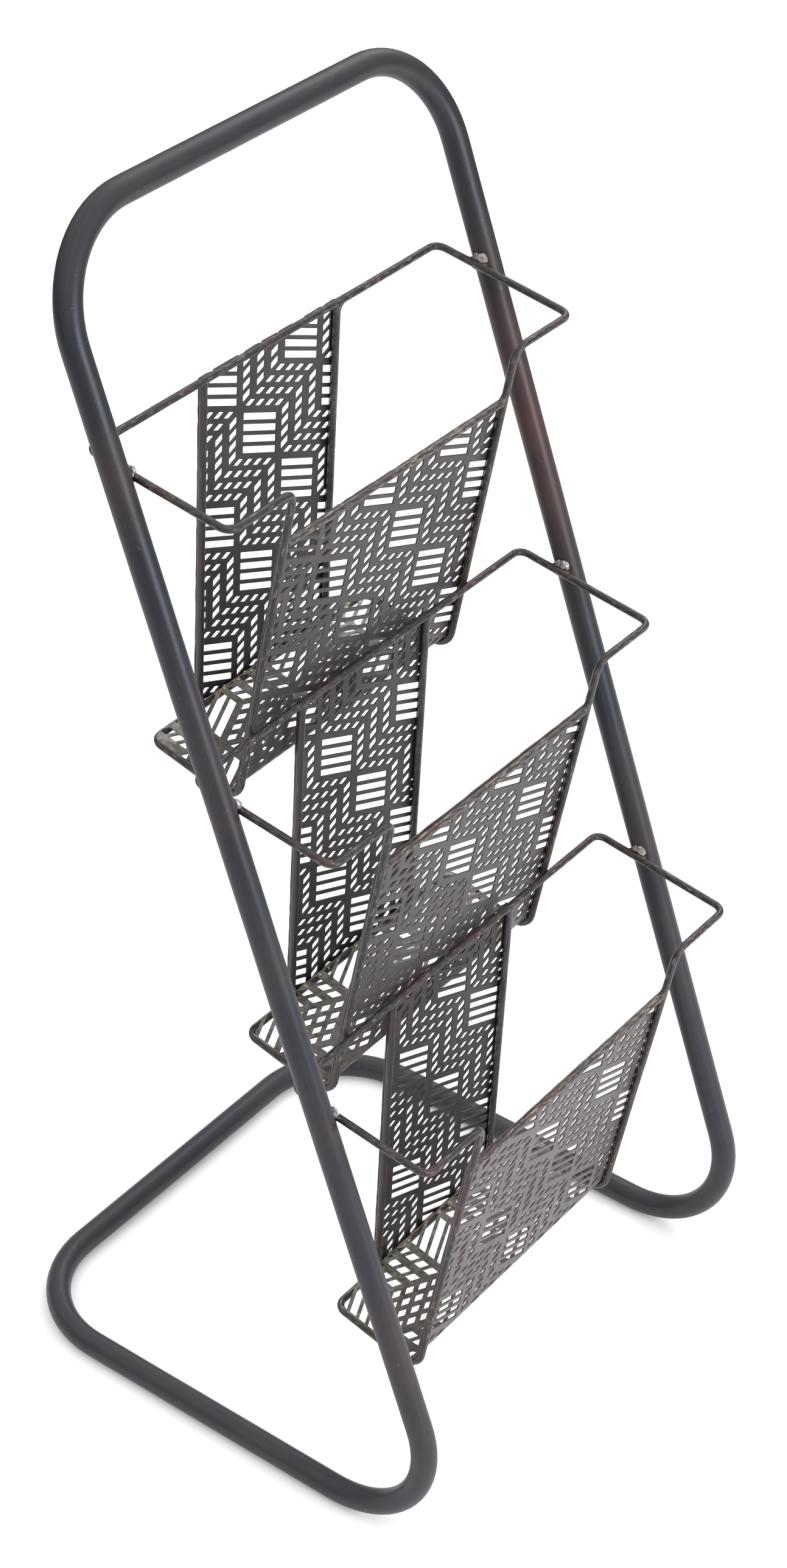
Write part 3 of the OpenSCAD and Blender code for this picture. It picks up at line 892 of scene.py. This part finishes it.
def thick_sheet(flat, faces, place, shade):
    """A sheet of real thickness from flat triangles, with bevelled rims.

    place(x, y, height) gives points in the basket's frame, and shade(x, y) the burnt and halo values.
    """
    used = sorted({i for face in faces for i in face})
    number = {v: i for i, v in enumerate(used)}
    flat = flat[used]
    faces = [tuple(number[i] for i in face) for face in faces]
    count = len(flat)
    seen = {(a, b) for face in faces for a, b in zip(face, face[1:] + face[:1])}
    rim = [edge for edge in seen if (edge[1], edge[0]) not in seen]
    rim.sort()
    outward = np.zeros((count, 2))
    for a, b in rim:
        d = unit(flat[b] - flat[a])
        normal = np.array([d[1], -d[0]])
        outward[a] += normal
        outward[b] += normal
    on_rim = sorted({i for edge in rim for i in edge})
    wall = {v: i for i, v in enumerate(on_rim)}
    size = np.linalg.norm(outward[on_rim], axis=1)[:, None]
    edge_flat = flat[on_rim] + outward[on_rim] / np.maximum(size, 0.3) * EDGE_BEVEL
    half = SHEET_T / 2
    inner = half - EDGE_BEVEL
    levels = [(flat, half), (flat, -half), (edge_flat, inner), (edge_flat, -inner)]
    verts = np.concatenate([place(p[:, 0], p[:, 1], height) for p, height in levels])
    where = np.concatenate([p for p, _ in levels])
    heights = np.concatenate([np.full(len(p), height) for p, height in levels])
    cut = np.concatenate([np.zeros(2 * count), np.ones(2 * len(on_rim))])
    skin = [tuple(face) for face in faces]
    skin += [tuple(count + i for i in reversed(face)) for face in faces]
    base = 2 * count
    for a, b in rim:
        wa, wb = base + wall[a], base + wall[b]
        la, lb = wa + len(on_rim), wb + len(on_rim)
        skin += [(a, wa, wb, b), (wa, la, lb, wb), (la, count + a, count + b, lb)]
    burnt, halo = shade(where[:, 0], where[:, 1])
    flow = np.stack([where[:, 0], where[:, 1], heights], 1)
    attributes = [
        ("flow", "FLOAT_VECTOR", flow),
        ("cut", "FLOAT", cut),
        ("burnt", "FLOAT", burnt),
        ("halo", "FLOAT", halo),
    ]
    return verts, skin, attributes


def smooth_step(v, low, high):
    t = np.clip((v - low) / (high - low), 0, 1)
    return t * t * (3 - 2 * t)


def spread(rng, half_w, top, bottom, pitch):
    """Loose points at a rough pitch, which keep the triangles small."""
    spots = []
    for y in np.arange(top + pitch / 2, bottom, pitch):
        for x in np.arange(-half_w + pitch / 2, half_w, pitch):
            spots.append((x + rng.uniform(-0.2, 0.2) * pitch, y + rng.uniform(-0.2, 0.2) * pitch))
    return spots


def warp(x, y, seed, size):
    """How far a hand-worked sheet stands off its own plane."""
    shift = Vector((seed * 5.1, seed * 2.7, 0))
    return size * np.array([noise.noise(Vector((px, py, 0)) / (55 * MM) + shift) for px, py in zip(x, y)])


TACK_R = 1.9 * MM
TACK_SMALLEST = 1.1 * MM
TACK_PITCH = 15 * MM
TACK_SEARCH = 5 * MM
NOTCH = ROD_R + 1.2 * MM
TACK_AT = SHEET_END - REAR_BORDER / 2
TACK_HALO = 3.2 * MM
FRONT_WARP = 0.35 * MM
BACK_WARP = 0.3 * MM
LOOSE_PITCH = 7 * MM
TACK_SPOT_PITCH = 1.5 * MM
# How often a cut edge wanders, and how far
TOP_RAG = (5 * MM, 0.4 * MM)
SIDE_RAG = (9 * MM, 0.2 * MM)
BACK_RAG = (6 * MM, 0.25 * MM)


def tack_places(holes):
    """(x, radius) of each tack on the tray: near an even pitch, between the holes, clear of the posts."""
    near = [hole for hole in holes if max(p[1] for p in hole) > TACK_AT - 2 * TACK_R]
    count = math.floor((FRONT_X - 2 * TRAY_CORNER) / TACK_PITCH)
    places = []
    for k in range(-count, count + 1):
        choices = []
        for away in np.linspace(-TACK_SEARCH, TACK_SEARCH, 21):
            x = k * TACK_PITCH + away
            room = min((clearance(x, TACK_AT, hole) for hole in near), default=TACK_R)
            choices.append((min(room, TACK_R) - 0.05 * abs(away), x, room))
        _, x, room = max(choices)
        if abs(abs(x) - POST_X) > NOTCH + TACK_R:
            places.append((x, min(max(room, TACK_SMALLEST), TACK_R)))
    return places


def front_place(x, y, height):
    """From the front sheet's flat x and y to the basket: front, bend, then tray."""
    lift = ROD_R + SHEET_T / 2 + height
    bend = np.clip((y - BEND_START) / BEND_R, 0, TRAY_TURN)[:, None]
    radius = TRAY_BEND - lift
    centre = RIM_FRONT + BEND_START * FRONT_DIR + TRAY_BEND * FRONT_N
    turned = centre + radius * (np.sin(bend) * FRONT_DIR - np.cos(bend) * FRONT_N)
    before = np.minimum(y - BEND_START, 0)[:, None] * FRONT_DIR
    after = np.maximum(y - BEND_END, 0)[:, None] * TRAY_DIR
    return turned + before + after + x[:, None] * X_AXIS


def back_place(x, y, height):
    lift = ROD_R + SHEET_T / 2 + height
    return x[:, None] * X_AXIS + y[:, None] * BACK_DIR + lift * BACK_N


def front_outline(rng, top):
    """Ragged along the top, with round rear corners and a notch for each post."""
    w = SHEET_X
    turns = np.linspace(0, math.pi / 2, 7)

    def corner(side, t):
        return side * (w - TRAY_CORNER * (1 - math.cos(t))), SHEET_END - TRAY_CORNER * (1 - math.sin(t))

    outline = uneven_line((-w, top), (w, top), rng, *TOP_RAG)
    outline += uneven_line((w, top), (w, SHEET_END - TRAY_CORNER), rng, *SIDE_RAG)
    outline += [corner(1, t) for t in turns]
    for side in (1, -1):
        for x, y in ((1, 0), (1, -1), (-1, -1), (-1, 0)):
            depth = SHEET_OVERLAP + NOTCH
            outline.append((side * POST_X + x * NOTCH, SHEET_END + y * depth))
    outline += [corner(-1, t) for t in reversed(turns)]
    outline += uneven_line((-w, SHEET_END - TRAY_CORNER), (-w, top), rng, *SIDE_RAG)[1:]
    return outline


def front_sheet(tier, origin, index):
    """Builds the sheet and returns where its tacks stand."""
    rng = random.Random(10 + index)
    top = CROSS_DROP - SHEET_LIP[tier]
    outline = front_outline(rng, top)
    holes = pattern(FRONT_CELLS[tier], SHEET_X, top + SOLID_LIP, FOLD)
    holes += pattern(TRAY_CELLS[tier], SHEET_X, FOLD, SHEET_END)
    tacks = tack_places(holes)
    levels = list(np.linspace(BEND_START, BEND_END, 17))
    border = SHEET_END - 2 * REAR_BORDER
    spots = spread(rng, SHEET_X, top, border, LOOSE_PITCH)
    spots += spread(rng, SHEET_X - 2 * MM, border, SHEET_END - 0.5 * MM, TACK_SPOT_PITCH)
    flat, faces = cut_sheet(outline, holes, levels, SHEET_X, spots)

    def place(x, y, height):
        calm = 1 - smooth_step(y, BEND_START - 30 * MM, BEND_START)
        lean = calm * warp(x, y, index + 1, FRONT_WARP)
        return front_place(x, y, height) + lean[:, None] * FRONT_N

    def shade(x, y):
        burnt = 0.55 * smooth_step(y, BEND_START - 20 * MM, BEND_END)
        burnt = burnt + 0.45 * smooth_step(y, SHEET_END - 40 * MM, SHEET_END - 6 * MM)
        halo = np.zeros(len(x))
        for tack, _ in tacks:
            away = np.hypot(x - tack, y - TACK_AT) / TACK_HALO
            halo = np.maximum(halo, np.exp(-away * away))
        return burnt, halo

    verts, skin, attributes = thick_sheet(flat, faces, place, shade)
    add_piece(f"{tier}_basket_front_sheet", verts + origin, skin, FRONT_STEEL_WITH_PAINTED_LIGHT[tier],
              f"{tier}_basket_front_sheet", attributes=attributes)
    return tacks


def back_sheet(tier, origin, index):
    rng = random.Random(20 + index)
    half_w = BACK_X
    top, bottom = -SHEET_OVERLAP, POST_LEN + SHEET_OVERLAP
    corners = [(-half_w, top), (half_w, top), (half_w, bottom), (-half_w, bottom)]
    outline = []
    for i, corner in enumerate(corners):
        outline += uneven_line(corner, corners[(i + 1) % 4], rng, *BACK_RAG)
    holes = pattern(BACK_CELLS[tier], half_w, top, bottom)
    spots = spread(rng, half_w, top, bottom, LOOSE_PITCH)
    flat, faces = cut_sheet(outline, holes, [], half_w, spots)

    def place(x, y, height):
        return back_place(x, y, height + warp(x, y, index + 8, BACK_WARP)[:, None])

    def shade(x, y):
        return 0.35 * smooth_step(y, bottom - 40 * MM, bottom), np.zeros(len(x))

    verts, skin, attributes = thick_sheet(flat, faces, place, shade)
    add_piece(f"{tier}_basket_back_sheet", verts + origin, skin, BACK_STEEL_WITH_PAINTED_SHADE[tier],
              f"{tier}_basket_back_sheet", attributes=attributes)


# -------- welds


def weld_piece(tier, kind, parts, origin, material):
    """One piece from (mesh, burnt) pairs; burnt is 0 for a bright bead and 1 for a dark one."""
    verts, faces, flow = joined([mesh for mesh, _ in parts])
    burnt = np.concatenate([np.full(len(mesh[0]), dark) for mesh, dark in parts])
    add_piece(f"{tier}_basket_{kind}", verts + origin, faces, material, f"{tier}_basket_{kind}",
              attributes=[("flow", "FLOAT_VECTOR", flow), ("burnt", "FLOAT", burnt)])


def frame_welds(tier, origin, seed):
    """On each arm beside its upright: a broad bright bead above, with darker ones round and below it.

    beads holds, in mm, the place along, above and outside the arm and the half sizes, then the darkness.
    """
    arm_n = np.array([0, -math.sin(ARM_SLOPE), math.cos(ARM_SLOPE)])
    beads = [
        (1.6, 5.0, 1.6, (2.4, 4.2, 3.9), 0.0),
        (-2.8, 4.4, 1.0, (2.0, 2.4, 3.2), 0.55),
        (-5.0, 2.2, 0.2, (1.6, 2.4, 1.6), 1.0),
        (5.2, 2.0, 0.4, (1.6, 2.2, 1.3), 1.0),
        (-1.8, -3.1, 0.4, (1.6, 3.0, 1.5), 1.0),
        (2.2, -3.2, 0.4, (1.6, 2.2, 1.4), 0.9),
    ]
    parts = []
    for side in (-1, 1):
        out = side * X_AXIS
        arm = CROSSING + side * RIM_X * X_AXIS
        for k, (along, lift, across, size, dark) in enumerate(beads):
            centre = arm + MM * (along * ARM_DIR + lift * arm_n + (ROD_R / MM - 1.6 + across) * out)
            axes = np.array([size[0] * MM * out, size[1] * MM * ARM_DIR, size[2] * MM * arm_n])
            parts.append((lump(centre, axes, seed + k + 9 * side, rough=0.3), dark))
    weld_piece(tier, "frame_welds", parts, origin, FRAME_WELD)


FILLET_R = ROD_R * 0.96
FILLET_END = 1.5 * MM
FRONT_FILLET = 9 * MM
POST_FILLET = {-1: 6.5 * MM, 1: 10.5 * MM}


def corner_fillet(corner, a, b, reach):
    """A smooth inside fillet: a short elbow from the rod along a to the rod along b."""
    corners = [corner + reach * a, corner, corner + reach * b]
    path = bent_path(corners, [0, reach - FILLET_END, 0], step=1 * MM)
    return ring_mesh(path, np.full(len(path), FILLET_R), ROD_SIDES, False)


def rod_welds(tier, origin, seed):
    """Fillets from the cross rod up the front rods and beside the tops of the posts, and small beads."""
    parts = []
    for side in (-1, 1):
        out = side * X_AXIS
        end = CROSS_MID + side * FRONT_X * X_AXIS
        parts.append((corner_fillet(end, -out, -FRONT_DIR, FRONT_FILLET), 0.85))
        for k, (turn, size) in enumerate(((0.4, 1.9), (4.4, 1.6))):
            radial = math.cos(turn) * FRONT_DIR + math.sin(turn) * FRONT_N
            centre = end - (ROD_R + 0.6 * MM) * out + 1.4 * MM * radial
            axes = size * MM * np.array([0.9 * out, FRONT_DIR, 1.2 * FRONT_N])
            parts.append((lump(centre, axes, seed + k + 5 * side, rough=0.3), 0.8))
        top = side * POST_X * X_AXIS
        parts.append((corner_fillet(top, X_AXIS, BACK_DIR, POST_FILLET[side]), 0.6))
        foot = top + TRAY_REAR
        for k, across in enumerate((-1.2, 1.2)):
            axes = 1.8 * MM * np.array([1.2 * X_AXIS, BACK_DIR, -BACK_N])
            centre = foot - (ROD_R + 0.5 * MM) * BACK_DIR + across * MM * X_AXIS
            parts.append((lump(centre, axes, seed + 20 + k + 3 * side, rough=0.3), 0.6))
    weld_piece(tier, "rod_welds", parts, origin, ROD_WELD)


def tack_welds(tier, origin, tacks, seed):
    parts = []
    for k, (x, size) in enumerate(tacks):
        centre = front_place(np.array([x]), np.array([TACK_AT]), SHEET_T / 2 + 0.2 * MM)[0]
        axes = np.array([size * X_AXIS, size * TRAY_DIR, 0.75 * size * TRAY_N])
        parts.append((lump(centre, axes, seed + k, rough=0.14, rings=10, sides=16), 0.0))
    weld_piece(tier, "tack_welds", parts, origin, TACK_WELD)


build_frame()
for index, tier in enumerate(TIERS):
    origin = basket_origin(tier)
    seed = 30 * (index + 1)
    basket_rod(tier, origin, seed)
    straight_rods(tier, origin, seed + 7)
    tacks = front_sheet(tier, origin, index)
    back_sheet(tier, origin, index)
    frame_welds(tier, origin, seed + 1)
    rod_welds(tier, origin, seed + 2)
    tack_welds(tier, origin, tacks, seed + 3)

# -------- floor, light and camera

FLOOR_GLOW = 0.12
HORIZON = 0.12
CEILING = 1.45


def floor_piece():
    f = Finish("studio_floor")
    soft = f.noise(f.place, 3, 2, 0.5)
    f.done(f.mix(soft, (0.90, 0.90, 0.90), (0.93, 0.93, 0.93)), 0.8, 0.0, f.bump(soft, 0.0001), 0.2)
    f.shader.inputs["Emission Color"].default_value = (1, 1, 1, 1)
    f.shader.inputs["Emission Strength"].default_value = FLOOR_GLOW
    mesh = bpy.data.meshes.new("floor")
    size = 2.4
    corners = [(-size, -size, 0), (size, -size, 0), (size, size, 0), (-size, size, 0)]
    mesh.from_pydata(corners, [], [(0, 1, 2, 3)])
    mesh.materials.append(f.material)
    floor = bpy.data.objects.new("floor", mesh)
    bpy.context.scene.collection.objects.link(floor)


def soft_light(name, place, aim, size, power, tint=(1, 1, 1)):
    light = bpy.data.lights.new(name, "AREA")
    light.shape = "RECTANGLE"
    light.size, light.size_y = size
    light.energy = power
    light.color = tint
    lamp = bpy.data.objects.new(name, light)
    lamp.location = place
    lamp.rotation_euler = (Vector(aim) - Vector(place)).to_track_quat("-Z", "Y").to_euler()
    bpy.context.scene.collection.objects.link(lamp)


def studio():
    """A white surround, which gloss sees as a bright ceiling that darkens towards the horizon."""
    world = bpy.data.worlds.new("studio")
    world.use_nodes = True
    nodes = world.node_tree.nodes
    links = world.node_tree.links
    split = nodes.new("ShaderNodeSeparateXYZ")
    links.new(nodes.new("ShaderNodeTexCoord").outputs["Generated"], split.inputs["Vector"])
    height = nodes.new("ShaderNodeMapRange")
    height.inputs["From Max"].default_value = 0.75
    height.inputs["To Min"].default_value = HORIZON
    height.inputs["To Max"].default_value = CEILING
    links.new(split.outputs["Z"], height.inputs["Value"])
    seen = nodes.new("ShaderNodeMath")
    seen.operation = "MAXIMUM"
    links.new(nodes.new("ShaderNodeLightPath").outputs["Is Camera Ray"], seen.inputs[0])
    links.new(height.outputs["Result"], seen.inputs[1])
    links.new(seen.outputs[0], nodes["Background"].inputs["Strength"])
    nodes["Background"].inputs["Color"].default_value = (1, 1, 1, 1)
    bpy.context.scene.world = world
    soft_light("front", (0.1, -2.9, 1.25), (0, 0, 0.7), (1.3, 1.3), 60, (0.93, 0.96, 1.0))
    soft_light("right", (2.3, 0.7, 2.4), (0, 0, 0.6), (1.4, 1.4), 18)


def camera():
    """The photograph's view: its target, distance, angles and lens."""
    target = Vector((-158.08 * MM, -117.48 * MM, 616.02 * MM))
    distance = 2081.3 * MM
    azimuth = math.radians(-54.486)
    elevation = math.radians(35.804)
    roll = math.radians(2.167)
    right = Vector((math.cos(azimuth), math.sin(azimuth), 0))
    back = Vector((
        math.sin(azimuth) * math.cos(elevation),
        -math.cos(azimuth) * math.cos(elevation),
        math.sin(elevation),
    ))
    above = back.cross(right)
    rolled_right = math.cos(roll) * right + math.sin(roll) * above
    rolled_above = math.cos(roll) * above - math.sin(roll) * right
    lens = bpy.data.cameras.new("camera")
    lens.sensor_fit = "VERTICAL"
    lens.sensor_height = 36
    lens.lens = 76.55
    lens.clip_end = 50
    viewer = bpy.data.objects.new("camera", lens)
    place = Matrix((rolled_right, rolled_above, back)).transposed().to_4x4()
    place.translation = target + distance * back
    viewer.matrix_world = place
    bpy.context.scene.collection.objects.link(viewer)
    bpy.context.scene.camera = viewer


floor_piece()
studio()
camera()
bpy.context.scene.view_settings.view_transform = "Standard"
